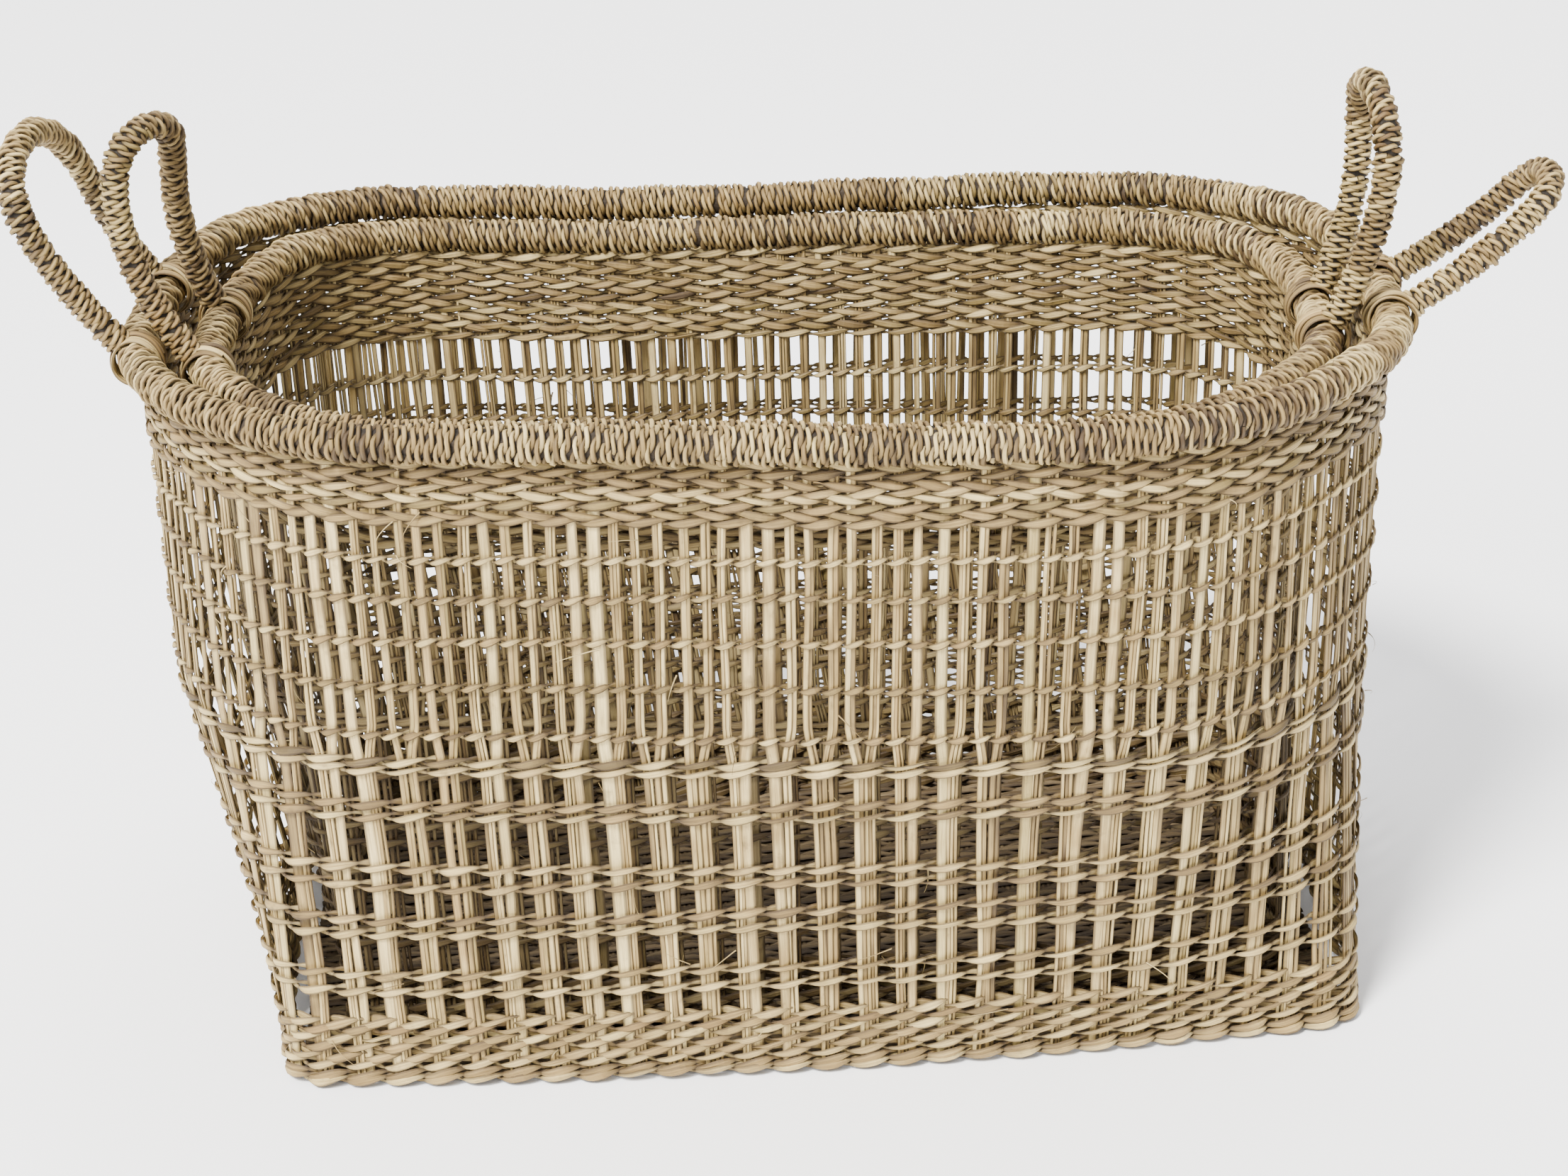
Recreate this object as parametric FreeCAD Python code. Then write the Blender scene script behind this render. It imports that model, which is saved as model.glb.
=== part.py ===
import FreeCAD, Part
import bisect
import math
import os

# Nested pair of open-weave seagrass storage baskets with two hinged loop handles each.
# Frame: +Z up, +X along the length, origin at the middle of the outer basket's underside.
# All sizes in millimetres.

V = FreeCAD.Vector
Rotation = FreeCAD.Rotation
UP = V(0, 0, 1)
ALONG_Y = V(0, 1, 0)

WALL = 6.6          # woven wall, strand over stake over strand
STRAND = 1.9        # thickness of one flattened strand
ROW_TALL = 4.4      # height of one twined row
STAKE_IN = 2.55      # stake face below the wall's outer surface
STAKE_T = 1.5       # stake thickness
RIM_R = 9.0         # wrapped rim tube
RIM_CORE_R = 5.0    # hoop inside the rim
HANDLE_R = 6.75     # wrapped handle tube
HANDLE_CORE_R = 3.5
LASH_IN = 11.2      # lashing ring round the rim
LASH_OUT = 13.0
LASH_LONG = 12.0    # lashing length along the rim
FLOOR_T = 5.5
FOOT_TALL = 10.0
FOOT_OUT = 1.5      # how far the foot braid stands proud of the wall
FOOT_DEEP = 9.0
BAND_TOP = 38.0     # close-woven band above the foot
SPLIT = 186.5       # height where each stake bundle parts in two
RIM_Z = 339.0       # rim centre height of the outer basket
CORNER_STEPS = 24   # points round each quarter of an outline

DOUBLE_ROWS = [(178.0, 5.2), (153.5, 7.0), (116.0, 9.2), (90.5, 8.7), (59.0, 9.6)]

# Each level of a wall: height, half length, half width, corner radius, bow of the sides,
# shift in X, shift in Y, turn about Z in degrees, and how far from the middle of the front the
# even spacing of the stakes starts. The soft walls lean and twist a little.
# Each handle: the Y of its front and back foot on the rim, height, radius of its top, lean in
# degrees, how far its legs belly outward, and its twist in degrees.
OUTER = {
    "name": "outer",
    "z0": 0.0,
    "rise": 1.0,
    "collar_low": 300.0,
    "single_rows": [193.0, 220.0, 242.0, 264.0, 284.0],
    "lower_width": 8.6,
    "levels": [
        (0.0, 261.5, 139.5, 19.0, 11.8, 0.0, 0.0, 5.2, -28.0),
        (SPLIT, 283.5, 166.0, 115.0, 8.0, -14.8, 0.0, -0.5, 0.0),
        (300.0, 289.0, 173.0, 137.0, 2.4, -14.4, -2.5, -0.1, 0.0),
        (RIM_Z, 291.0, 173.0, 143.0, 0.0, -14.2, -3.0, 0.0, 0.0),
    ],
    "stakes": 84,
    "handles": [
        {"side": "left", "sign": -1, "front": -72.0, "back": 22.0, "tall": 105.0,
         "top": 44.0, "lean": 27.0, "belly": 7.0, "twist": -12.0},
        {"side": "right", "sign": 1, "front": -38.0, "back": 10.0, "tall": 94.0,
         "top": 17.0, "lean": 50.0, "belly": 7.0, "twist": -8.0},
    ],
}
INNER = {
    "name": "inner",
    "z0": 6.0,
    "rise": 325.0 / RIM_Z,
    "collar_low": 281.0,
    "single_rows": [193.0, 214.0, 236.0, 259.0],
    "lower_width": 7.9,
    "levels": [
        (0.0, 232.0, 108.0, 17.0, 8.0, 0.0, 0.0, 5.2, -24.0),
        (SPLIT, 252.5, 121.0, 72.0, 5.0, -13.5, -3.0, -0.5, 0.0),
        (281.0, 258.5, 133.0, 100.0, 1.5, -13.9, -8.0, -0.1, 0.0),
        (RIM_Z, 260.0, 137.0, 112.0, 0.0, -14.2, -9.0, 0.0, 0.0),
    ],
    "stakes": 70,
    "handles": [
        {"side": "left", "sign": -1, "front": -68.0, "back": 6.0, "tall": 109.0,
         "top": 24.0, "lean": 11.0, "belly": 13.0, "twist": -34.0},
        {"side": "right", "sign": 1, "front": -43.0, "back": 1.0, "tall": 116.0,
         "top": 28.0, "lean": 9.0, "belly": 10.0, "twist": -7.0},
    ],
}


def world_z(basket, height):
    """Height above the floor of a height measured on the outer basket's scale."""
    return basket["z0"] + basket["rise"] * height


def level_points(level, inset, count):
    """Points round one level's rounded outline, equally spaced from the middle of the front."""
    _height, a, b, r, bow, shift_x, shift_y, turn, start = level
    a, b = a - inset, b - inset
    r = max(r - inset, 6.0)
    rounded = [(0.0, -b)]
    for sx, sy, first in ((1, -1, 270), (1, 1, 0), (-1, 1, 90), (-1, -1, 180)):
        for k in range(CORNER_STEPS + 1):
            t = math.radians(first + 90.0 * k / CORNER_STEPS)
            rounded.append((sx * (a - r) + r * math.cos(t), sy * (b - r) + r * math.sin(t)))
    rounded.append((0.0, -b))

    lengths = [0.0]
    for p, q in zip(rounded, rounded[1:]):
        lengths.append(lengths[-1] + math.hypot(q[0] - p[0], q[1] - p[1]))

    points = []
    for i in range(count):
        reach = (lengths[-1] * i / count + start) % lengths[-1]
        k = bisect.bisect_right(lengths, reach)
        f = (reach - lengths[k - 1]) / (lengths[k] - lengths[k - 1])
        x = rounded[k - 1][0] + f * (rounded[k][0] - rounded[k - 1][0])
        y = rounded[k - 1][1] + f * (rounded[k][1] - rounded[k - 1][1])
        bowed_x = x + 0.6 * bow * (x / a) * (1 - (y / b) ** 2)
        bowed_y = y + bow * (y / b) * (1 - (x / a) ** 2)
        turned = Rotation(UP, turn).multVec(V(bowed_x, bowed_y, 0))
        points.append(turned.add(V(shift_x, shift_y, 0)))
    return points


def outline(basket, height, inset):
    """Closed wire of the wall at a height, moved inward by inset.

    It blends the levels below and above along straight lines, the way the stakes run, and
    has one arc per two stake bundles.
    """
    rows = basket["levels"]
    for low, high in zip(rows, rows[1:]):
        if height <= high[0]:
            break
    f = (height - low[0]) / (high[0] - low[0])
    n = basket["stakes"] // 2
    lift = V(0, 0, world_z(basket, height))
    spots = []
    for p, q in zip(level_points(low, inset, 2 * n), level_points(high, inset, 2 * n)):
        spots.append(p + (q - p).multiply(f) + lift)
    edges = []
    for k in range(0, 2 * n, 2):
        p, half, q = spots[k], spots[k + 1], spots[(k + 2) % (2 * n)]
        straight = half.distanceToLine(p, q.sub(p)) < 0.001
        edges.append(Part.makeLine(p, q) if straight else Part.Arc(p, half, q).toShape())
    return Part.Wire(edges)


def ring(basket, low, high, inset_out, inset_in):
    """Ring of wall between two heights and two insets."""
    outside = Part.makeLoft([outline(basket, low, inset_out), outline(basket, high, inset_out)], True, True)
    inside = Part.makeLoft([outline(basket, low, inset_in), outline(basket, high, inset_in)], True, True)
    return outside.cut(inside)


def stakes(basket, low, high, per_arc, width):
    """Upright flat stake bundles standing in the middle of the wall."""
    inset = STAKE_IN + STAKE_T / 2
    solids = []
    for foot_edge, head_edge in zip(outline(basket, low, inset).Edges, outline(basket, high, inset).Edges):
        for k in range(per_arc):
            foot, along_foot = spot_on(foot_edge, (k + 0.5) / per_arc)
            head, along_head = spot_on(head_edge, (k + 0.5) / per_arc)
            along = (along_foot + along_head).normalize()
            u = V(along).multiply(width / 2)
            w = V(along.y, -along.x, 0).multiply(STAKE_T / 2)
            quad = [foot - u - w, foot + u - w, foot + u + w, foot - u + w]
            face = Part.Face(Part.makePolygon(quad + [quad[0]]))
            solids.append(face.extrude(head.sub(foot)))
    return Part.makeCompound(solids)


def spot_on(edge, share):
    """Point and direction at a share of an edge's length."""
    at = edge.getParameterByLength(share * edge.Length)
    return edge.valueAt(at), edge.tangentAt(at)


def row(basket, height):
    """One twined row: a strand outside the stakes and a strand inside them."""
    low, high = height - ROW_TALL / 2, height + ROW_TALL / 2
    return [
        ring(basket, low, high, 0.0, STRAND),
        ring(basket, low, high, WALL - STRAND, WALL),
    ]


def rim_tube(basket, radius):
    """Round tube that follows the rim: four quarter rings joined by straight lengths."""
    _height, a, b, r, _bow, shift_x, shift_y, _turn, _start = basket["levels"][-1]
    parts = []
    for sx, sy, degrees in ((1, 1, 0), (-1, 1, 90), (-1, -1, 180), (1, -1, 270)):
        quarter = Part.makeTorus(r, radius, V(0, 0, 0), UP, -180, 180, 90)
        quarter.rotate(V(0, 0, 0), UP, degrees)
        quarter.translate(V(sx * (a - r), sy * (b - r), 0))
        parts.append(quarter)
    for sy in (-1, 1):
        parts.append(Part.makeCylinder(radius, 2 * (a - r), V(-(a - r), sy * b, 0), V(1, 0, 0)))
    for sx in (-1, 1):
        parts.append(Part.makeCylinder(radius, 2 * (b - r), V(sx * a, -(b - r), 0), ALONG_Y))
    tube = parts[0].multiFuse(parts[1:])
    tube = Part.makeSolid(tube.Shells[0]) if tube.ShapeType != "Solid" else tube
    tube.translate(V(shift_x, shift_y, world_z(basket, RIM_Z)))
    return tube


def rim_spot(basket, sign, y):
    """Point of the rim's centre line at an end of the basket."""
    _height, a, b, r, _bow, shift_x, shift_y, _turn, _start = basket["levels"][-1]
    past = max(abs(y - shift_y) - (b - r), 0)
    return V(shift_x + sign * (a - r + math.sqrt(r * r - past * past)), y, world_z(basket, RIM_Z))


def hinge(basket, handle):
    """Middle, half span and turn about Z of the line through a handle's two feet."""
    front = rim_spot(basket, handle["sign"], handle["front"])
    back = rim_spot(basket, handle["sign"], handle["back"])
    span = back.sub(front)
    return (front + back).multiply(0.5), span.Length / 2, math.degrees(math.atan2(-span.x, span.y))


def handle_points(handle, half_span):
    """Centre line of a loop that stands on its feet: splayed legs and a round top."""
    tall, top = handle["tall"], handle["top"]
    lean, twist = math.radians(handle["lean"]), math.radians(handle["twist"])
    middle = tall - top
    reach = math.hypot(half_span, middle)
    touch = math.acos(min(top / reach, 1.0)) - math.atan2(middle, half_span)
    foot, head = (half_span, 0.0), (top * math.cos(touch), middle + top * math.sin(touch))
    half_way = ((foot[0] + head[0]) / 2, (foot[1] + head[1]) / 2)
    profile = [(-foot[0], foot[1]), (-half_way[0], half_way[1])]
    for k in range(9):
        t = math.pi - touch - (math.pi - 2 * touch) * k / 8
        profile.append((top * math.cos(t), middle + top * math.sin(t)))
    profile += [half_way, foot]
    points = []
    for across, up in profile:
        f = up / tall
        out = up * math.sin(lean) + handle["belly"] * 4 * f * (1 - f) + across * math.sin(twist) * f
        points.append(V(handle["sign"] * out, across * (1 - f + f * math.cos(twist)), up * math.cos(lean)))
    return points


def tube_along(points, radius):
    """Round tube along straight runs joined by tangent arcs."""
    edges = []
    start = points[0]
    for before, corner, after in zip(points, points[1:], points[2:]):
        d1, d2 = (corner - before), (after - corner)
        cut = 0.45 * min(d1.Length, d2.Length)
        d1.normalize()
        d2.normalize()
        p, q = corner - V(d1).multiply(cut), corner + V(d2).multiply(cut)
        bend = d1.getAngle(d2)
        to_middle = (d2 - d1).normalize()
        sagitta = cut * math.tan(bend / 4)
        edges.append(Part.makeLine(start, p))
        edges.append(Part.Arc(p, (p + q).multiply(0.5) - to_middle.multiply(sagitta), q).toShape())
        start = q
    edges.append(Part.makeLine(start, points[-1]))
    path = Part.Wire(edges)
    section = Part.Wire(Part.makeCircle(radius, points[0], points[1] - points[0]))
    return path.makePipeShell([section], True, False)


def handle_tube(handle, half_span, radius):
    seat = Part.makeCylinder(LASH_OUT, 4 * half_span, V(0, -2 * half_span, 0), ALONG_Y)
    return tube_along(handle_points(handle, half_span), radius).cut(seat)


def lashings(half_span):
    rings = []
    for y in (-half_span, half_span):
        start = V(0, y - LASH_LONG / 2, 0)
        outside = Part.makeCylinder(LASH_OUT, LASH_LONG, start, ALONG_Y)
        inside = Part.makeCylinder(LASH_IN, LASH_LONG, start, ALONG_Y)
        rings.append(outside.cut(inside))
    return Part.makeCompound(rings)


def set_handle(basket, handle, shape):
    """Put a handle made over the origin on its hinge line."""
    middle, _half_span, turn = hinge(basket, handle)
    moved = shape.copy()
    moved.rotate(V(0, 0, 0), UP, turn)
    moved.translate(middle)
    return moved


def collar(basket):
    """Close-woven collar, notched under the rim where the handle lashings pass."""
    top = (world_z(basket, RIM_Z) - RIM_R - basket["z0"]) / basket["rise"]
    body = ring(basket, basket["collar_low"], top, 0.0, WALL)
    depth = LASH_OUT - RIM_R + 1.0
    for handle in basket["handles"]:
        for y in (handle["front"], handle["back"]):
            spot = rim_spot(basket, handle["sign"], y)
            corner = spot.sub(V(17, LASH_LONG / 2 + 2.5, RIM_R + depth))
            body = body.cut(Part.makeBox(34, LASH_LONG + 5, depth + 5, corner))
    return body


def build(basket):
    nodes = {}
    floor_low = outline(basket, 0.0, FOOT_DEEP - FOOT_OUT)
    floor = Part.Face(floor_low).extrude(V(0, 0, FLOOR_T))
    nodes["floor_mat"] = floor
    foot_top = FOOT_TALL / basket["rise"]
    nodes["foot_braid"] = ring(basket, 0.0, foot_top, -FOOT_OUT, FOOT_DEEP - FOOT_OUT)
    nodes["base_band"] = ring(basket, foot_top, BAND_TOP, 0.0, WALL)
    for n, (height, apart) in enumerate(reversed(DOUBLE_ROWS), 1):
        strands = row(basket, height - apart / 2) + row(basket, height + apart / 2)
        nodes["double_row_%d" % n] = Part.makeCompound(strands)
    for n, height in enumerate(basket["single_rows"], 1):
        nodes["single_row_%d" % n] = Part.makeCompound(row(basket, height))
    nodes["stakes_lower"] = stakes(basket, BAND_TOP, SPLIT, 2, basket["lower_width"])
    nodes["stakes_upper"] = stakes(basket, SPLIT, basket["collar_low"], 4, 4.8)
    nodes["collar"] = collar(basket)
    core = rim_tube(basket, RIM_CORE_R)
    nodes["rim_core"] = core
    nodes["rim_wrap"] = rim_tube(basket, RIM_R).cut(core)
    for handle in basket["handles"]:
        side = handle["side"] + "_handle_"
        half_span = hinge(basket, handle)[1]
        inner_tube = handle_tube(handle, half_span, HANDLE_CORE_R)
        outer_tube = handle_tube(handle, half_span, HANDLE_R).cut(inner_tube)
        nodes[side + "core"] = set_handle(basket, handle, inner_tube)
        nodes[side + "wrap"] = set_handle(basket, handle, outer_tube)
        nodes[side + "lashings"] = set_handle(basket, handle, lashings(half_span))
    return nodes


os.makedirs("parts", exist_ok=True)
for basket in (OUTER, INNER):
    for name, shape in build(basket).items():
        shape.exportStep("parts/%s_%s.step" % (basket["name"], name))
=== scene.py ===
import math

import bpy
import numpy as np
from mathutils import Matrix, Vector


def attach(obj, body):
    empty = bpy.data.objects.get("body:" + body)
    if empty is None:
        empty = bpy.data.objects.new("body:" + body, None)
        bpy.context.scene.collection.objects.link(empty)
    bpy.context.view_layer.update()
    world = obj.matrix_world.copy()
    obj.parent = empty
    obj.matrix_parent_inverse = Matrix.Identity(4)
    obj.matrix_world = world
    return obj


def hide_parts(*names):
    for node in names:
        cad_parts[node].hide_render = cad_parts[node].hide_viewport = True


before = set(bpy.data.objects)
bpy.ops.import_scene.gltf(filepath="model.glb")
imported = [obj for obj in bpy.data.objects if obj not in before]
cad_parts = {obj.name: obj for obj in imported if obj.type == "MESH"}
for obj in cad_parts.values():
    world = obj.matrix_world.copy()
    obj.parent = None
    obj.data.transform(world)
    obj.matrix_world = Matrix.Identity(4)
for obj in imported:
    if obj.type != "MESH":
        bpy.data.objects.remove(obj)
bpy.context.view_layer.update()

rng = np.random.default_rng(11)

# The wall's levels, in millimetres, as in the CAD: height, half length, half width, corner
# radius, bow of the sides, shift in X, shift in Y, turn about Z in degrees, and where the even
# spacing starts. Each handle: sign, Y of its front and back foot, height, radius of its top,
# lean, belly and twist. The wave is how far the soft rim rises and sinks along its way round.
SPLIT, RIM_Z = 186.5, 339.0
BASKETS = {
    "outer": {
        "z0": 0.0, "rise": 1.0, "bundles": 84, "collar_low": 300.0,
        "single_rows": [193.0, 220.0, 242.0, 264.0, 284.0],
        "levels": [
            (0.0, 261.5, 139.5, 19.0, 11.8, 0.0, 0.0, 5.2, -28.0),
            (SPLIT, 283.5, 166.0, 115.0, 8.0, -14.8, 0.0, -0.5, 0.0),
            (300.0, 289.0, 173.0, 137.0, 2.4, -14.4, -2.5, -0.1, 0.0),
            (RIM_Z, 291.0, 173.0, 143.0, 0.0, -14.2, -3.0, 0.0, 0.0),
        ],
        "handles": {
            "left": (-1, -72.0, 22.0, 105.0, 44.0, 27.0, 7.0, -12.0),
            "right": (1, -38.0, 10.0, 94.0, 17.0, 50.0, 7.0, -8.0),
        },
        "wave": (-2.2, 5.6, 1.6, -0.8, -1.8, 0.5),
    },
    "inner": {
        "z0": 6.0, "rise": 325.0 / RIM_Z, "bundles": 70, "collar_low": 281.0,
        "single_rows": [193.0, 214.0, 236.0, 259.0],
        "levels": [
            (0.0, 232.0, 108.0, 17.0, 8.0, 0.0, 0.0, 5.2, -24.0),
            (SPLIT, 252.5, 121.0, 72.0, 5.0, -13.5, -3.0, -0.5, 0.0),
            (281.0, 258.5, 133.0, 100.0, 1.5, -13.9, -8.0, -0.1, 0.0),
            (RIM_Z, 260.0, 137.0, 112.0, 0.0, -14.2, -9.0, 0.0, 0.0),
        ],
        "handles": {
            "left": (-1, -68.0, 6.0, 109.0, 24.0, 11.0, 13.0, -34.0),
            "right": (1, -43.0, 1.0, 116.0, 28.0, 9.0, 10.0, -7.0),
        },
        "wave": (-2.4, 5.4, -1.6, -0.1, -2.3, -0.4),
    },
}
DOUBLE_ROWS = [(59.0, 9.6), (90.5, 8.7), (116.0, 9.2), (153.5, 7.0), (178.0, 5.2)]
MIDDLE = 3.3
DENSE = 1440


def rounded_outline(level, inset):
    """Dense equal-step points round one level, from the middle of the front."""
    _h, a, b, r, bow, shift_x, shift_y, turn, start = level
    a, b, r = a - inset, b - inset, max(r - inset, 6.0)
    pts = [(0.0, -b)]
    for sx, sy, first in ((1, -1, 270), (1, 1, 0), (-1, 1, 90), (-1, -1, 180)):
        for k in range(25):
            t = math.radians(first + 90.0 * k / 24)
            pts.append((sx * (a - r) + r * math.cos(t), sy * (b - r) + r * math.sin(t)))
    pts = np.array(pts + [(0.0, -b)])
    run = np.r_[0, np.cumsum(np.hypot(*np.diff(pts, axis=0).T))]
    at = (np.linspace(0, run[-1], DENSE, endpoint=False) + start) % run[-1]
    x, y = np.interp(at, run, pts[:, 0]), np.interp(at, run, pts[:, 1])
    bx = x + 0.6 * bow * (x / a) * (1 - (y / b) ** 2)
    by = y + bow * (y / b) * (1 - (x / a) ** 2)
    c, s = math.cos(math.radians(turn)), math.sin(math.radians(turn))
    return np.stack([bx * c - by * s + shift_x, bx * s + by * c + shift_y], 1)


for basket in BASKETS.values():
    basket["tables"] = np.array([
        [rounded_outline(v, 0.0), rounded_outline(v, 6.0)]
        for v in basket["levels"]
    ])
    basket["heights"] = np.array([v[0] for v in basket["levels"]])
    ring = rounded_outline(basket["levels"][2], 0.0)
    basket["round"] = float(np.hypot(*(np.roll(ring, -1, 0) - ring).T).sum())


def wave(basket, share):
    """Rise and fall of the soft rim, flat where the handles stand."""
    w, t = basket["wave"], 2 * math.pi * (share - 0.098)
    rise = w[0] * np.cos(2 * t) + w[1] * np.sin(2 * t) + w[2] * np.cos(t) + w[3] * np.sin(t)
    rise = rise + w[4] * np.cos(4 * t) + w[5] * np.sin(4 * t)
    end = np.abs((share * 2) % 1.0 - 0.5)
    return rise * np.clip((end - 0.07) / 0.08, 0, 1)


def on_wall(basket, share, height, inset):
    """Points in millimetres on the wall at a share of the way round, a height and an inset."""
    share, height, inset = np.broadcast_arrays(share, height, inset)
    hs = basket["heights"]
    k = np.clip(np.searchsorted(hs, height, side="right") - 1, 0, len(hs) - 2)
    f = ((height - hs[k]) / (hs[k + 1] - hs[k]))[..., None]
    at = (share % 1.0) * DENSE
    i = at.astype(int) % DENSE
    j, g = (i + 1) % DENSE, (at - np.floor(at))[..., None]
    t = basket["tables"]
    depth = (inset / 6.0)[..., None]

    def level(n):
        skin = t[n, 0, i] * (1 - g) + t[n, 0, j] * g
        deep = t[n, 1, i] * (1 - g) + t[n, 1, j] * g
        return skin + (deep - skin) * depth

    xy = level(k) * (1 - f) + level(k + 1) * f
    z = basket["z0"] + basket["rise"] * height + wave(basket, share) * np.clip((height - 90) / 210, 0, 1)
    return np.concatenate([xy, z[..., None]], -1)


def outward(basket, share, height):
    """Unit vectors square to the wall, pointing out."""
    share, height = np.broadcast_arrays(share, height)
    a = on_wall(basket, share, height, 0.0)
    b = on_wall(basket, share + 0.002, height, 0.0)
    c = on_wall(basket, share, height + 2.0, 0.0)
    return unit(np.cross(b - a, c - a))


def unit(v):
    return v / np.maximum(np.linalg.norm(v, axis=-1, keepdims=True), 1e-9)


def smooth_noise(count, samples, size, closed=True):
    """Smooth random curves, one row per strand: count x samples."""
    knots = max(4, int(samples / size))
    values = rng.normal(size=(count, knots + (0 if closed else 1)))
    if closed:
        values = np.concatenate([values, values[:, :1]], 1)
    at = np.linspace(0, knots, samples, endpoint=not closed)
    i = np.minimum(at.astype(int), knots - 1)
    f = at - i
    f = f * f * (3 - 2 * f)
    return values[:, i] * (1 - f) + values[:, i + 1] * f


class Weave:
    """Collects flattened strands and turns them into one mesh."""

    def __init__(self):
        self.verts, self.quads, self.uvs, self.tints = [], [], [], []
        self.count = 0

    def add(
        self, points, normals, width, thick,
        sides=5, closed=False, tone=(0.5, 0.5), roll=0.0, shade=1.0,
    ):
        """points and normals are strands x samples x 3, in millimetres."""
        s, k, _ = points.shape
        if closed:
            along = np.roll(points, -1, 1) - np.roll(points, 1, 1)
        else:
            along = np.gradient(points, axis=1)
        along = unit(along)
        across = unit(np.cross(along, normals))
        up = np.cross(across, along)
        width = np.broadcast_to(width, (s, k))[..., None, None] / 2
        thick = np.broadcast_to(thick, (s, k))[..., None, None] / 2
        turn = np.linspace(0, 2 * math.pi, sides, endpoint=False)[None, None, :, None]
        spin = np.broadcast_to(roll, (s, k))[..., None, None]
        ca, sa = np.cos(turn) * width, np.sin(turn) * thick
        cr, sr = np.cos(spin), np.sin(spin)
        ring = across[:, :, None] * (ca * cr - sa * sr) + up[:, :, None] * (ca * sr + sa * cr)
        ring = ring + points[:, :, None]
        steps = k if closed else k - 1
        i = np.arange(steps)
        j = (i + 1) % k
        m = np.arange(sides)
        n = (m + 1) % sides
        a = i[:, None] * sides + m
        b = i[:, None] * sides + n
        c = j[:, None] * sides + n
        d = j[:, None] * sides + m
        quads = np.stack([a, b, c, d], -1).reshape(-1, 4)
        start = self.count + np.arange(s)[:, None, None] * (k * sides)
        self.quads.append((quads[None] + start).reshape(-1, 4))
        self.verts.append(ring.reshape(-1, 3))
        gap = np.linalg.norm(np.diff(points, axis=1), axis=-1)
        run = np.concatenate([np.zeros((s, 1)), np.cumsum(gap, 1)], 1)
        if closed:
            last = np.linalg.norm(points[:, :1] - points[:, -1:], axis=-1)
            run = np.concatenate([run, run[:, -1:] + last], 1)
        first, then = run[:, :steps], run[:, 1:steps + 1]
        u = np.stack([first, first, then, then], -1)[:, :, None, :] * np.ones((1, 1, sides, 1))
        v = np.stack([m, m + 1, m + 1, m], -1)[None, None] / sides * np.ones((s, steps, 1, 1))
        self.uvs.append(np.stack([u, v], -1).reshape(-1, 2))
        tint = np.stack([
            np.clip(tone[0] + rng.normal(size=s) * 0.24, 0, 1),
            np.clip(tone[1] + rng.normal(size=s) * 0.2, 0, 1),
            rng.random(s),
            np.ones(s),
        ], -1)
        tint = np.repeat(tint, k * sides, axis=0)
        # The alpha channel carries painted shade along each strand.
        tint[:, 3] = np.repeat(np.broadcast_to(shade, (s, k)).ravel(), sides)
        self.tints.append(tint)
        self.count += s * k * sides

    def mesh(self, name, body, nodes, slot, material, smooth=False):
        verts = np.concatenate(self.verts) * 0.001
        quads = np.concatenate(self.quads)
        me = bpy.data.meshes.new(name)
        me.vertices.add(len(verts))
        me.vertices.foreach_set("co", verts.astype(np.float32).ravel())
        me.loops.add(quads.size)
        me.loops.foreach_set("vertex_index", quads.astype(np.int32).ravel())
        me.polygons.add(len(quads))
        me.polygons.foreach_set("loop_start", np.arange(0, quads.size, 4, dtype=np.int32))
        me.update(calc_edges=True)
        me.polygons.foreach_set("use_smooth", np.full(len(quads), smooth))
        uv = me.uv_layers.new(name="strand")
        uv.data.foreach_set("uv", (np.concatenate(self.uvs) * [0.01, 1.0]).astype(np.float32).ravel())
        tint = me.color_attributes.new("tint", "FLOAT_COLOR", "POINT")
        tint.data.foreach_set("color", np.concatenate(self.tints).astype(np.float32).ravel())
        me.materials.append(material)
        ob = bpy.data.objects.new(name, me)
        bpy.context.scene.collection.objects.link(ob)
        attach(ob, body)
        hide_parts(*nodes)
        print("piece", name, len(quads) * 2)
        return ob


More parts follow.
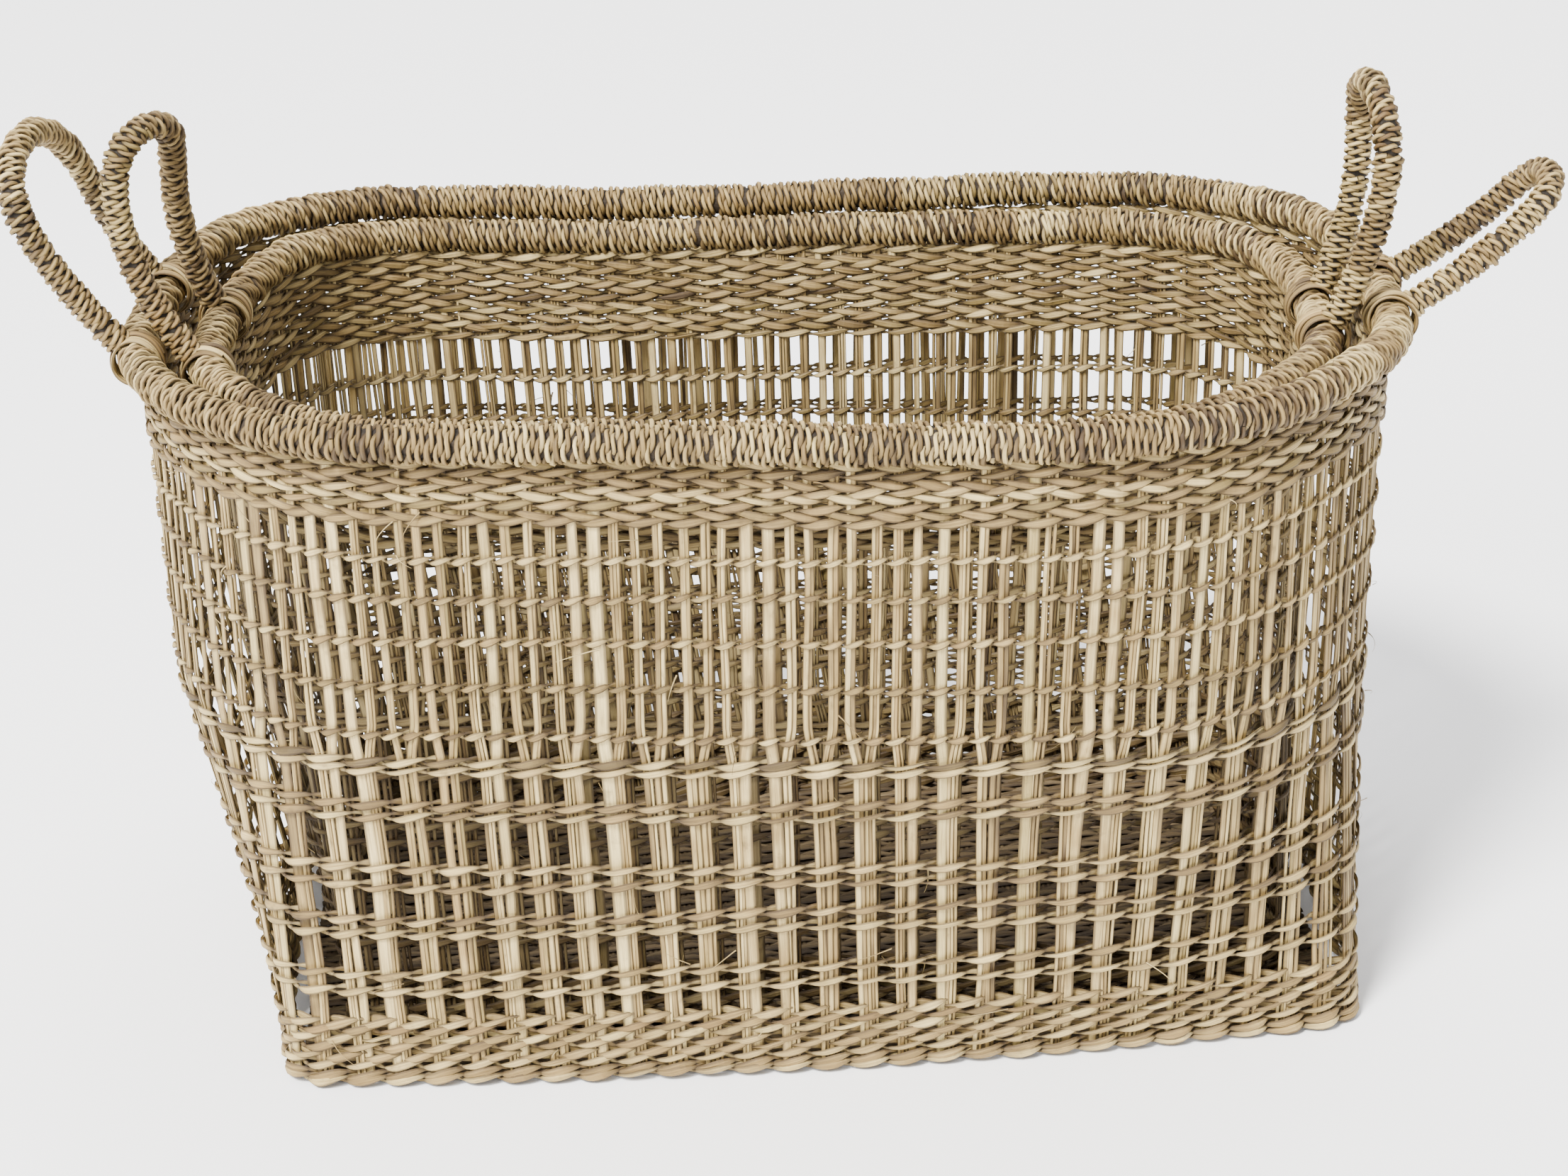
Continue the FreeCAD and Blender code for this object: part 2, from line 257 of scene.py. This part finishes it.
def seagrass(name, dark, mid, pale, rough=0.62):
    """Dry seagrass strand: tone by strand, fine lengthwise fibres and stains, with painted shade at the
    strand's edges and where the tint's alpha is low.
    """
    mat = bpy.data.materials.new(name)
    mat.use_nodes = True
    nt = mat.node_tree
    nt.nodes.clear()

    def node(kind, **inputs):
        n = nt.nodes.new(kind)
        for key, value in inputs.items():
            n.inputs[key.replace("_", " ")].default_value = value
        return n

    def link(a, out, b, into):
        nt.links.new(a.outputs[out], b.inputs[into])

    def mapped(source, low_in, high_in, low_out, high_out):
        r = node("ShaderNodeMapRange")
        r.inputs["From Min"].default_value = low_in
        r.inputs["From Max"].default_value = high_in
        r.inputs["To Min"].default_value = low_out
        r.inputs["To Max"].default_value = high_out
        nt.links.new(source, r.inputs["Value"])
        return r.outputs["Result"]

    def maths(kind, a, b):
        m = nt.nodes.new("ShaderNodeMath")
        m.operation = kind
        for socket, value in zip(m.inputs, (a, b)):
            if isinstance(value, (int, float)):
                socket.default_value = value
            else:
                nt.links.new(value, socket)
        return m.outputs[0]

    def blend(factor, a, b, kind="MIX"):
        m = nt.nodes.new("ShaderNodeMix")
        m.data_type = "RGBA"
        m.blend_type = kind
        for socket, value in ((m.inputs[0], factor), (m.inputs[6], a), (m.inputs[7], b)):
            if isinstance(value, (int, float)):
                socket.default_value = value
            elif isinstance(value, tuple):
                socket.default_value = (*value, 1)
            else:
                nt.links.new(value, socket)
        return m.outputs[2]

    uv = nt.nodes.new("ShaderNodeUVMap")
    uv.uv_map = "strand"
    tint = nt.nodes.new("ShaderNodeAttribute")
    tint.attribute_name = "tint"
    parts = nt.nodes.new("ShaderNodeSeparateColor")
    link(tint, "Color", parts, "Color")
    xyz = nt.nodes.new("ShaderNodeSeparateXYZ")
    link(uv, "UV", xyz, "Vector")
    seed = maths("MULTIPLY", parts.outputs["Blue"], 97.0)

    def along(length_scale, round_scale, detail, rough_noise=0.6):
        c = nt.nodes.new("ShaderNodeCombineXYZ")
        nt.links.new(maths("MULTIPLY", xyz.outputs["X"], length_scale), c.inputs["X"])
        nt.links.new(maths("MULTIPLY", xyz.outputs["Y"], round_scale), c.inputs["Y"])
        nt.links.new(seed, c.inputs["Z"])
        n = node("ShaderNodeTexNoise", Scale=1.0, Detail=detail, Roughness=rough_noise)
        link(c, "Vector", n, "Vector")
        return n.outputs["Fac"]

    fibre = along(7.0, 26.0, 3.0)
    streak = along(2.2, 9.0, 2.0)
    stain = along(9.0, 1.5, 3.0)
    patch = along(4.5, 0.4, 1.0)
    own_tone = maths("ADD", maths("MULTIPLY", parts.outputs["Red"], 0.62), -0.22)
    own_tone = maths("ADD", own_tone, maths("MULTIPLY", patch, 0.55))
    tone = maths("ADD", own_tone, maths("MULTIPLY", streak, 0.34))
    ramp = nt.nodes.new("ShaderNodeValToRGB")
    stops = ramp.color_ramp.elements
    stops[0].position, stops[0].color = 0.18, (*dark, 1)
    stops[1].position, stops[1].color = 0.92, (*pale, 1)
    middle = stops.new(0.52)
    middle.color = (*mid, 1)
    nt.links.new(tone, ramp.inputs["Fac"])
    green = mapped(parts.outputs["Green"], 0.62, 1.0, 0.0, 0.5)
    colour = blend(green, ramp.outputs["Color"], (mid[0] * 0.86, mid[1] * 0.97, mid[2] * 0.78))
    ruddy = mapped(parts.outputs["Green"], 0.3, 0.0, 0.0, 0.4)
    colour = blend(ruddy, colour, (mid[0] * 0.95, mid[1] * 0.82, mid[2] * 0.66))
    lines = mapped(fibre, 0.32, 0.68, 0.72, 1.12)
    grey = nt.nodes.new("ShaderNodeCombineXYZ")
    for axis in "XYZ":
        nt.links.new(lines, grey.inputs[axis])
    colour = blend(1.0, colour, grey.outputs["Vector"], "MULTIPLY")
    spots = mapped(stain, 0.62, 0.78, 0.0, 0.55)
    colour = blend(spots, colour, (dark[0] * 0.62, dark[1] * 0.56, dark[2] * 0.5))
    # Painted shade: the colour darkens towards each strand's long edges, where it meets its neighbours.
    side = maths("ABSOLUTE", maths("COSINE", maths("MULTIPLY", xyz.outputs["Y"], 2 * math.pi), 0.0), 0.0)
    edge = mapped(side, 0.55, 1.0, 0.0, 0.8)
    colour = blend(edge, colour, (dark[0] * 0.7, dark[1] * 0.62, dark[2] * 0.5))
    # Painted shade: where the tint's alpha is low, the colour sinks towards a deep brown.
    deep = mapped(tint.outputs["Alpha"], 1.0, 0.0, 0.0, 1.0)
    colour = blend(deep, colour, (dark[0] * 0.4, dark[1] * 0.34, dark[2] * 0.28))
    shader = node("ShaderNodeBsdfPrincipled")
    nt.links.new(colour, shader.inputs["Base Color"])
    nt.links.new(mapped(fibre, 0.3, 0.7, rough + 0.12, rough - 0.08), shader.inputs["Roughness"])
    shader.inputs["Specular IOR Level"].default_value = 0.38
    relief = maths("ADD", fibre, maths("MULTIPLY", streak, 0.8))
    bump = node("ShaderNodeBump", Strength=0.55, Distance=0.0006)
    nt.links.new(relief, bump.inputs["Height"])
    link(bump, "Normal", shader, "Normal")
    out = nt.nodes.new("ShaderNodeOutputMaterial")
    link(shader, "BSDF", out, "Surface")
    return mat


DARK, MID, PALE = (0.05, 0.028, 0.009), (0.26, 0.17, 0.056), (0.64, 0.485, 0.205)
woven = seagrass("woven_seagrass", DARK, MID, PALE)
flat_stake = seagrass("stake_seagrass", DARK, (0.33, 0.225, 0.080), (0.70, 0.54, 0.245))
cord = seagrass("cord_seagrass", DARK, (0.29, 0.19, 0.064), (0.66, 0.50, 0.215), rough=0.58)
# Painted shade: the floor's strands are very dark, as the basket's inside lies in shadow.
floor_weave = seagrass(
    "floor_seagrass_painted_shade",
    (0.03, 0.018, 0.007), (0.085, 0.056, 0.024), (0.17, 0.12, 0.06), rough=0.7,
)
# Painted shade: the core is near black so the gaps between the cord's wraps read as shadow.
core_fibre_painted_shade = seagrass(
    "core_fibre_painted_shade",
    (0.010, 0.006, 0.002), (0.02, 0.012, 0.005), (0.04, 0.025, 0.011), rough=0.8,
)


def inner_low_painted_shade(basket, height):
    """Painted shade: the inner basket is darker low down, where its inside lies in shadow; the outer basket
    keeps full tone.
    """
    return 1.0 if basket["rise"] == 1.0 else 0.34 + 0.54 * np.clip((height - 150) / 150, 0, 1)


def twined(
    weave, basket, heights, per_round, reach, rise, width, thick,
    steps=6, phase=0.0, wander=1.1, flip=False, tone=(0.55, 0.5),
):
    """Rows of two strands twisted round each other and round the stakes."""
    rows = len(heights)
    samples = per_round * steps
    share = np.arange(samples) / samples
    lift = smooth_noise(rows, samples, per_round * steps / 14) * wander
    lift = lift + smooth_noise(rows, samples, steps * 1.6) * 0.35
    for strand in (0, 1):
        for n in range(rows):
            turn = math.pi * (per_round * share - 0.5 + phase * (n % 2)) + math.pi * strand
            swing = np.clip(np.cos(turn) * 1.12, -1, 1)
            side = swing * (reach * (1 + smooth_noise(1, samples, steps * 1.5)[0] * 0.08))
            inset = MIDDLE - side
            lean = -1 if flip and n % 2 else 1
            height = heights[n] + lift[n] + np.sin(turn) * rise * lean
            flat = np.abs(np.cos(turn)) ** 0.8
            w = width * (0.36 + 0.70 * flat) * (1 + smooth_noise(1, samples, steps)[0] * 0.1)
            pts = on_wall(basket, share, height, inset)[None]
            nor = outward(basket, share, np.full(samples, heights[n]))[None]
            tilt = smooth_noise(1, samples, steps * 2)[0] * 0.22
            # Painted shade: each strand darkens where it crosses between the stakes, and the inner basket is
            # darker low down.
            lit = (0.2 + 0.8 * np.abs(np.cos(turn)) ** 0.6) * inner_low_painted_shade(basket, height)
            flat = np.full((1, samples), thick)
            weave.add(
                pts, nor, w[None], flat,
                sides=6, closed=True, tone=tone, roll=tilt[None], shade=lit[None],
            )


def stake_strands(weave, basket):
    """Flat strands standing in bundles that part in two above the double rows."""
    n = basket["bundles"]
    top = 329.0
    heights = np.concatenate([np.linspace(6, 168, 17), np.linspace(175, 205, 6), np.linspace(213, top, 13)])
    k = len(heights)
    part = np.clip((heights - 176.0) / 26.0, 0, 1)
    part = part * part * (3 - 2 * part)
    mm = 1.0 / basket["round"]
    for i in range(n):
        centre = (i + 0.5) / n
        for side in (-1, 1):
            kind = rng.random()
            if (i + (side > 0)) % 2 == 0:
                widths = [5.3 + rng.normal() * 0.4] if kind < 0.5 else [3.0, 2.4]
            else:
                widths = [1.9, 1.8, 1.7] if kind < 0.5 else [2.8, 1.9]
            total = sum(widths) * 0.94
            drift = side * (0.25 / n) * part + side * 2.45 * mm * (1 - part)
            drift = drift + rng.normal() * 0.7 * mm * part
            wobble = smooth_noise(1, k, 6, closed=False)[0] * 0.45 * mm
            at = -total / 2
            for j, w in enumerate(widths):
                own = (at + w / 2) * mm * (1 - 0.12 * part) + rng.normal() * 0.12 * mm
                own = own + smooth_noise(1, k, 7, closed=False)[0] * 0.14 * mm
                at += w * 0.94
                w = w if basket["rise"] == 1.0 else w * 0.86
                share = centre + drift + wobble + own
                inset = MIDDLE + rng.normal() * 0.22 + smooth_noise(1, k, 5, closed=False)[0] * 0.2
                pts = on_wall(basket, share, heights, inset)[None]
                nor = outward(basket, share, heights)[None]
                wide = w * (1 + smooth_noise(1, k, 9, closed=False) * 0.07)
                roll = smooth_noise(1, k, 12, closed=False) * 0.16
                # Painted shade: the narrow strands take a darker tone than the wide ones, and the inner basket
                # is darker low down.
                tone = (0.72 if w > 4 else 0.55, 0.5)
                lit = np.ones(k) * inner_low_painted_shade(basket, heights)
                deep = np.full((1, k), 1.0 if w > 4 else 1.25)
                weave.add(pts, nor, wide, deep, sides=6, tone=tone, roll=roll, shade=lit[None])


def wound(
    weave, centre, normals, ups, radius, pitch, cord_d,
    twist=2.6, per_turn=24, sides=5, tone=(0.5, 0.5),
):
    """Twisted two-ply cord wound round a path given as dense points in millimetres."""
    gap = np.linalg.norm(np.diff(centre, axis=0), axis=-1)
    run = np.r_[0, np.cumsum(gap)]
    turns = max(2, int(round(run[-1] / pitch)))
    samples = turns * per_turn + 1
    t = np.linspace(0, turns, samples)
    ang = 2 * math.pi * t
    wavy = smooth_noise(1, samples, per_turn * 0.9, closed=False)[0]
    at = np.clip(run[-1] * t / turns + wavy * 0.45 + 1.1 * np.sin(ang), 0, run[-1])
    p = np.stack([np.interp(at, run, centre[:, i]) for i in range(3)], 1)
    n = unit(np.stack([np.interp(at, run, normals[:, i]) for i in range(3)], 1))
    u = unit(np.stack([np.interp(at, run, ups[:, i]) for i in range(3)], 1))
    d = unit(np.cross(n, u))
    out = n * np.cos(ang)[:, None] + u * np.sin(ang)[:, None]
    plump = 1 + smooth_noise(1, samples, per_turn * 1.0, closed=False)[0] * 0.05
    spin = 2 * math.pi * twist * t + smooth_noise(1, samples, per_turn * 2.0, closed=False)[0] * 0.8
    ply = cord_d * 0.27
    mid = radius - cord_d * 0.5
    for side in (0, math.pi):
        c, s = np.cos(spin + side)[:, None], np.sin(spin + side)[:, None]
        pts = p + out * (mid * plump[:, None] + ply * c) + d * (ply * 1.05 * s)
        # Painted shade: each ply darkens where its twist carries it under, towards the core.
        lit = 0.1 + 0.9 * np.clip(0.5 + 0.5 * np.cos(spin + side), 0, 1) ** 0.55
        thick = cord_d * 0.56 * (1 + smooth_noise(1, samples, 11, closed=False)[0] * 0.1)
        pieces = max(1, turns // 7)
        edges = np.linspace(0, samples - 1, pieces + 1).astype(int)
        for a, b in zip(edges, edges[1:]):
            cut = slice(a, b + 1)
            weave.add(
                pts[cut][None], out[cut][None], thick[cut][None] * 1.08, thick[cut][None],
                sides=sides, tone=tone, shade=lit[cut][None],
            )


def core_tube(centre, normals, radius, closed=False):
    """Plain bundle that the cord is wound round."""
    tube = Weave()
    wide = np.full((1, len(centre)), 2 * radius)
    tube.add(centre[None], normals[None], wide, wide, sides=12, closed=closed)
    return tube


def rim_path(basket, start, end, samples=900):
    share = np.linspace(start, end, samples)
    centre = on_wall(basket, share, np.full(samples, RIM_Z), 0.0)
    ripple = 0.5 * np.sin(share * 2 * math.pi * 19 + 1.0) * np.clip(np.abs(wave(basket, share)) / 2, 0, 1)
    centre[:, 2] += ripple
    along = unit(np.gradient(centre, axis=0))
    ups = np.tile([0.0, 0.0, 1.0], (samples, 1))
    normals = unit(np.cross(along, ups))
    return centre, normals, ups


def rim_spot(basket, sign, y):
    _h, a, b, r, _bow, shift_x, shift_y, _turn, _start = basket["levels"][-1]
    past = max(abs(y - shift_y) - (b - r), 0)
    x = shift_x + sign * (a - r + math.sqrt(r * r - past * past))
    return np.array([x, y, basket["z0"] + basket["rise"] * RIM_Z])


def handle_path(basket, handle, samples=90):
    """Centre line of a loop from foot to foot, with its hinge's middle and direction."""
    sign, front, back, tall, top, lean, belly, twist = handle
    p, q = rim_spot(basket, sign, front), rim_spot(basket, sign, back)
    middle, half = (p + q) / 2, np.linalg.norm(q - p) / 2
    chord = (q - p) / (2 * half)
    outward_x = np.array([chord[1], -chord[0], 0.0]) * sign
    lean, twist, crown = math.radians(lean), math.radians(twist), tall - top
    touch = math.acos(min(top / math.hypot(half, crown), 1.0)) - math.atan2(crown, half)
    t = np.linspace(math.pi - touch, touch, samples)
    leg = np.linspace(0, 1, 40)
    head = np.array([top * math.cos(touch), crown + top * math.sin(touch)])
    foot = np.array([half, 0.0])
    right_leg = head + (foot - head) * leg[:, None]
    left_leg = right_leg[::-1] * [-1, 1]
    arc = np.stack([top * np.cos(t), crown + top * np.sin(t)], 1)
    profile = np.concatenate([left_leg, arc[1:-1], right_leg])
    across, up = profile.T
    f = up / tall
    out = up * math.sin(lean) + belly * 4 * f * (1 - f) + across * math.sin(twist) * f
    across = across * (1 - f + f * math.cos(twist))
    z = np.array([0.0, 0.0, 1.0])
    pts = middle + outward_x * out[:, None] + chord * across[:, None] + z * (up * math.cos(lean))[:, None]
    gap = np.r_[0, np.cumsum(np.linalg.norm(np.diff(pts, axis=0), axis=1))]
    at = np.linspace(9.5, gap[-1] - 9.5, 400)
    pts = np.stack([np.interp(at, gap, pts[:, i]) for i in range(3)], 1)
    soft = np.ones(25) / 25
    padded = np.pad(pts, ((12, 12), (0, 0)), mode="edge")
    eased = np.stack([np.convolve(padded[:, i], soft, "valid") for i in range(3)], 1)
    ease = np.clip(np.minimum(np.arange(400), np.arange(400)[::-1]) / 30.0, 0, 1)[:, None]
    pts = pts * (1 - ease) + eased * ease
    along = unit(np.gradient(pts, axis=0))
    face = outward_x * math.cos(lean) - z * math.sin(lean)
    normals = unit(face - along * (along @ face)[:, None])
    return pts, normals, unit(np.cross(normals, along)), middle, chord, half


def lashing(weave, middle, chord, half):
    """Flat strands wound round the rim at the foot of each leg."""
    k = 90
    side = np.array([chord[1], -chord[0], 0.0])
    for y0 in (-half, half):
        for turns, shift, radius in ((2.3, -3.6, 11.0), (2.1, 2.2, 11.2), (1.3, -0.4, 12.0), (1.2, 3.0, 12.2)):
            t = np.linspace(0, 1, k)
            ang = 2 * math.pi * turns * t + rng.random() * 6
            swell = radius + 0.3 * np.sin(3 * ang + rng.random() * 6)
            y = y0 + shift + (t - 0.5) * 4.0 * turns / 2 + np.sin(ang + rng.random() * 6) * 1.4
            ring = side * np.cos(ang)[:, None] + np.array([0.0, 0.0, 1.0]) * np.sin(ang)[:, None]
            pts = middle + chord * y[:, None] + ring * swell[:, None]
            wide, thick = np.full((1, k), 4.0), np.full((1, k), 1.4)
            weave.add(pts[None], ring[None], wide, thick, sides=6, tone=(0.42, 0.4))


def floor_strands(weave, basket):
    """Close twined rows running along the length, over flat cross strands."""
    _h, a, b, r, bow, _sx, _sy, turn, _start = basket["levels"][0]
    a, b = a - 7.0, b - 7.0
    c, s = math.cos(math.radians(turn)), math.sin(math.radians(turn))
    z = basket["z0"] + 2.7
    pitch = 5.0
    rows = int(2 * b / pitch)
    stitch, steps = 18.8, 4
    turned = np.array([[c, s, 0], [-s, c, 0], [0, 0, 1]])
    for n in range(rows):
        y0 = -b + (n + 0.5) * 2 * b / rows
        inside = max(0.0, abs(y0) - (b - r))
        half = a - (r - math.sqrt(max(r * r - inside * inside, 0))) - 1.0
        count = int(2 * half / stitch * steps)
        x = np.linspace(-half, half, count)
        y = y0 + bow * (y0 / b) * (1 - (x / a) ** 2) + smooth_noise(1, count, 20, closed=False)[0] * 0.5
        for strand in (0, math.pi):
            ph = math.pi * (x / stitch + 0.5 * (n % 2)) + strand
            pts = np.stack([x, y + np.sin(ph) * 1.0, z + np.clip(np.cos(ph) * 1.3, -1, 1) * 1.25], 1) @ turned
            nor = np.tile([0.0, 0.0, 1.0], (count, 1))
            w = 4.6 * (0.65 + 0.4 * np.abs(np.cos(ph)))
            thick = np.full((1, count), 1.7)
            weave.add(pts[None], nor[None], w[None], thick, sides=5, tone=(0.5, 0.5))
    for x0 in np.arange(-a + 10, a - 8, stitch):
        y = np.linspace(-b + 2, b - 2, 12)
        for shift in (-2.8, 0.0, 2.8):
            pts = np.stack([np.full(12, x0 + shift), y, np.full(12, z)], 1) @ turned
            nor = np.tile([0.0, 0.0, 1.0], (12, 1))
            wide, thick = np.full((1, 12), 2.9), np.full((1, 12), 1.0)
            weave.add(pts[None], nor[None], wide, thick, sides=4)


def strays(weave, basket, count):
    """Loose fibres and cut ends that stand off the weave."""
    k = 7
    for _ in range(count):
        share, height = rng.random(), rng.uniform(20, 325)
        t = np.linspace(0, 1, k)
        length = rng.uniform(8, 26)
        side, lift = rng.normal(), rng.normal() * 0.8
        mm = 1.0 / basket["round"]
        pts = on_wall(
            basket,
            share + side * t * length * mm * 0.7,
            height + lift * t * length * 0.6 - 4 * t * t,
            0.4 - 3.2 * np.sin(t * 2.4),
        )
        nor = outward(basket, np.full(k, share), np.full(k, height))
        w = np.linspace(1.0, 0.25, k) * rng.uniform(0.3, 1.0)
        weave.add(pts[None], nor[None], w[None], w[None] * 0.5, sides=4, tone=(0.75, 0.5))


for name, basket in BASKETS.items():
    body = name + "_basket"
    n = basket["bundles"]

    band = Weave()
    twined(
        band, basket, [12.6, 17.6, 22.6, 27.4, 32.0, 36.4], n, 2.0, 1.9, 4.3, 1.4,
        steps=8, phase=0.5, wander=0.6, tone=(0.58, 0.5),
    )
    band.mesh(name + "_base_band_weave", body, [name + "_base_band"], "woven_strands", woven)

    foot = Weave()
    twined(foot, basket, [4.2], n, 2.5, 1.4, 5.2, 2.6, steps=8, wander=0.15, tone=(0.5, 0.45))
    twined(foot, basket, [7.4], n, 2.4, 1.9, 5.0, 2.2, steps=8, wander=0.4, phase=0.5, tone=(0.5, 0.45))
    foot.mesh(name + "_foot_braid_weave", body, [name + "_foot_braid"], "woven_strands", woven)

    lower = Weave()
    for row, (height, apart) in enumerate(DOUBLE_ROWS, 1):
        twined(
            lower, basket, [height - apart / 2, height + apart / 2], n, 2.1, 1.5, 4.0, 1.3,
            steps=8, wander=0.9, tone=(0.64, 0.55),
        )
    lower.mesh(
        name + "_double_rows", body,
        ["%s_double_row_%d" % (name, k) for k in range(1, 6)],
        "woven_strands", woven,
    )

    upper = Weave()
    twined(
        upper, basket, basket["single_rows"], 2 * n, 1.8, 1.25, 3.3, 1.3,
        steps=6, wander=1.2, tone=(0.62, 0.55),
    )
    upper.mesh(
        name + "_single_rows", body,
        ["%s_single_row_%d" % (name, k + 1) for k in range(len(basket["single_rows"]))],
        "woven_strands", woven,
    )

    uprights = Weave()
    stake_strands(uprights, basket)
    strays(uprights, basket, 90)
    uprights.mesh(
        name + "_stake_strands", body,
        [name + "_stakes_lower", name + "_stakes_upper"],
        "stakes", flat_stake,
    )

    collar = Weave()
    low = basket["collar_low"]
    count = int(round((331.0 - low) / 3.8))
    heights = list(low + 2.2 + np.arange(count) * (328.6 - low) / (count - 0.5))
    twined(
        collar, basket, heights, n, 2.0, 1.15, 3.8, 1.3,
        steps=8, phase=0.5, wander=0.6, flip=True, tone=(0.6, 0.55),
    )
    collar.mesh(name + "_collar_weave", body, [name + "_collar"], "woven_strands", woven)

    for half, (start, end) in enumerate(((-0.25, 0.25), (0.25, 0.75))):
        rim = Weave()
        centre, normals, ups = rim_path(basket, start, end)
        wound(rim, centre, normals, ups, 9.2, 3.9, 4.0)
        rim.mesh(
            "%s_rim_cord_%s" % (name, ("front", "back")[half]), body,
            [name + "_rim_wrap"],
            "wrapped_cord", cord, smooth=True,
        )
    centre, normals, ups = rim_path(basket, 0.0, 1.0)
    hoop = core_tube(centre[:-1], normals[:-1], 6.9, closed=True)
    hoop.mesh(name + "_rim_hoop", body, [name + "_rim_core"], "hoop_core", core_fibre_painted_shade, smooth=True)

    floor = Weave()
    floor_strands(floor, basket)
    floor.mesh(name + "_floor_strands", body, [name + "_floor_mat"], "floor_weave", floor_weave)

    for side, handle in basket["handles"].items():
        own = "%s_%s_handle" % (name, side)
        centre, normals, ups, middle, chord, half = handle_path(basket, handle)
        grip = Weave()
        wound(grip, centre, normals, ups, 6.9, 3.9, 4.0, twist=2.4, per_turn=20)
        grip.mesh(own + "_cord", own, [own + "_wrap"], "wrapped_cord", cord, smooth=True)
        bundle = core_tube(centre, normals, 4.7)
        bundle.mesh(own + "_bundle", own, [own + "_core"], "hoop_core", core_fibre_painted_shade, smooth=True)
        ties = Weave()
        lashing(ties, middle, chord, half)
        ties.mesh(own + "_ties", own, [own + "_lashings"], "wrapped_cord", cord, smooth=True)


# Camera: a little above the rims, facing the long side
YAW, PITCH, ROLL = -0.0298, 0.441, 0.0242
AIM, AWAY = Vector((-0.0083, 0.0, 0.1858)), 1.541
back = Matrix.Rotation(-YAW, 3, "Z")
look = Vector((0, math.cos(PITCH), -math.sin(PITCH)))
right0, up0 = Vector((1, 0, 0)), Vector((0, math.sin(PITCH), math.cos(PITCH)))
right = math.cos(ROLL) * right0 - math.sin(ROLL) * up0
upward = math.sin(ROLL) * right0 + math.cos(ROLL) * up0
place = back @ (AIM - AWAY * look)
turn = Matrix((back @ right, back @ upward, back @ -look)).transposed()
camera = bpy.data.objects.new("camera", bpy.data.cameras.new("camera"))
bpy.context.scene.collection.objects.link(camera)
camera.matrix_world = Matrix.Translation(place) @ turn.to_4x4()
camera.data.lens = 4369.7 / 2212 * 36
camera.data.sensor_width = 36
camera.data.clip_start, camera.data.clip_end = 0.05, 60
bpy.context.scene.camera = camera


def plain(name, colour, rough):
    mat = bpy.data.materials.new(name)
    mat.use_nodes = True
    p = mat.node_tree.nodes["Principled BSDF"]
    p.inputs["Base Color"].default_value = (*colour, 1)
    p.inputs["Roughness"].default_value = rough
    p.inputs["Specular IOR Level"].default_value = 0.2
    return mat


me = bpy.data.meshes.new("ground")
me.from_pydata([(-30, -30, 0), (30, -30, 0), (30, 30, 0), (-30, 30, 0)], [], [(0, 1, 2, 3)])
me.materials.append(plain("pale_floor", (0.93, 0.93, 0.932), 0.6))
ground = bpy.data.objects.new("ground", me)
bpy.context.scene.collection.objects.link(ground)
ground.location.z = -0.0005

world = bpy.data.worlds.new("studio")
bpy.context.scene.world = world
world.use_nodes = True
world.node_tree.nodes["Background"].inputs["Color"].default_value = (0.96, 0.97, 1.0, 1)
world.node_tree.nodes["Background"].inputs["Strength"].default_value = 1.25


def lamp(name, place, aim, size, power, colour):
    data = bpy.data.lights.new(name, "AREA")
    data.shape = "DISK"
    data.size, data.energy, data.color = size, power, colour
    ob = bpy.data.objects.new(name, data)
    bpy.context.scene.collection.objects.link(ob)
    ob.location = place
    ob.rotation_mode = "QUATERNION"
    ob.rotation_quaternion = (Vector(aim) - Vector(place)).to_track_quat("-Z", "Y")


sun_data = bpy.data.lights.new("sun", "SUN")
sun_data.energy, sun_data.angle, sun_data.color = 9.5, math.radians(14), (1.0, 0.985, 0.96)
sun = bpy.data.objects.new("sun", sun_data)
bpy.context.scene.collection.objects.link(sun)
sun.rotation_mode = "QUATERNION"
sun.rotation_quaternion = Vector((0.42, 0.62, -1.0)).to_track_quat("-Z", "Y")
lamp("key", (-1.1, -1.7, 1.7), (0, 0, 0.2), 0.9, 60, (1.0, 0.98, 0.95))
lamp("top", (0.1, 0.7, 2.6), (0, 0, 0.1), 1.4, 40, (1.0, 1.0, 1.0))
